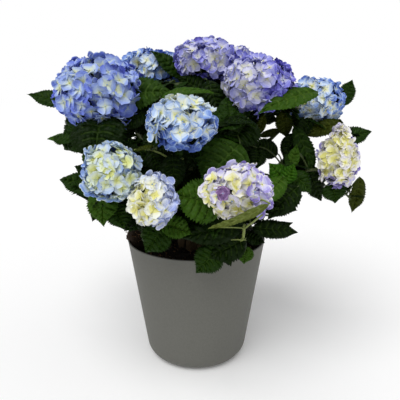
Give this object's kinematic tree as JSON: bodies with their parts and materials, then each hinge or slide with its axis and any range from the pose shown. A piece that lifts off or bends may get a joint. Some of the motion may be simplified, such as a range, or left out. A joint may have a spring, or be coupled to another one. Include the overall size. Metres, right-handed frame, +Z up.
{
  "type": "potted mophead shrub",
  "caption": "Bushy mophead shrub with blue and cream flower heads and broad toothed leaves, in a plain tapered grey pot.",
  "frame": {"origin": "centre of the pot's flat underside", "axes": "+Z up, -Y the front, +X to the right seen from the front"},
  "size_m": [0.7597, 0.648, 0.7458],
  "materials": {
    "pot": "matte",
    "soil": "matte",
    "cane": "matte",
    "bloom": "matte",
    "leaf": "satin"
  },
  "bodies": {
    "root": {"bloom_back": "bloom", "bloom_back_left": "bloom", "bloom_back_low_left": "bloom", "bloom_back_low_right": "bloom", "bloom_back_right": "bloom", "bloom_front_low": "bloom", "bloom_front_low_left": "bloom", "bloom_front_low_right": "bloom", "bloom_front_upper": "bloom", "bloom_left": "bloom", "bloom_right": "bloom", "bloom_right_upper": "bloom", "bloom_top": "bloom", "bloom_top_back": "bloom", "bloom_top_left": "bloom", "bloom_top_right": "bloom", "cane_back": "cane", "cane_back_left": "cane", "cane_back_low_left": "cane", "cane_back_low_right": "cane", "cane_back_right": "cane", "cane_front_low": "cane", "cane_front_low_left": "cane", "cane_front_low_right": "cane", "cane_front_upper": "cane", "cane_left": "cane", "cane_right": "cane", "cane_right_upper": "cane", "cane_top": "cane", "cane_top_back": "cane", "cane_top_left": "cane", "cane_top_right": "cane", "leaves_back": "leaf", "leaves_back_left": "leaf", "leaves_back_low_left": "leaf", "leaves_back_low_right": "leaf", "leaves_back_right": "leaf", "leaves_centre": "leaf", "leaves_far_left": "leaf", "leaves_far_right": "leaf", "leaves_far_right_top": "leaf", "leaves_inner_left": "leaf", "leaves_inner_right": "leaf", "leaves_left": "leaf", "leaves_low_far_right": "leaf", "leaves_low_left": "leaf", "leaves_low_right": "leaf", "leaves_right": "leaf", "leaves_rim_front": "leaf", "leaves_rim_left": "leaf", "leaves_rim_right": "leaf", "leaves_upper_left": "leaf", "leaves_upper_middle": "leaf", "leaves_upper_right": "leaf", "pot": "pot", "soil": "soil", "soil_clod": "soil", "stem": "cane"}
  },
  "joints": []
}
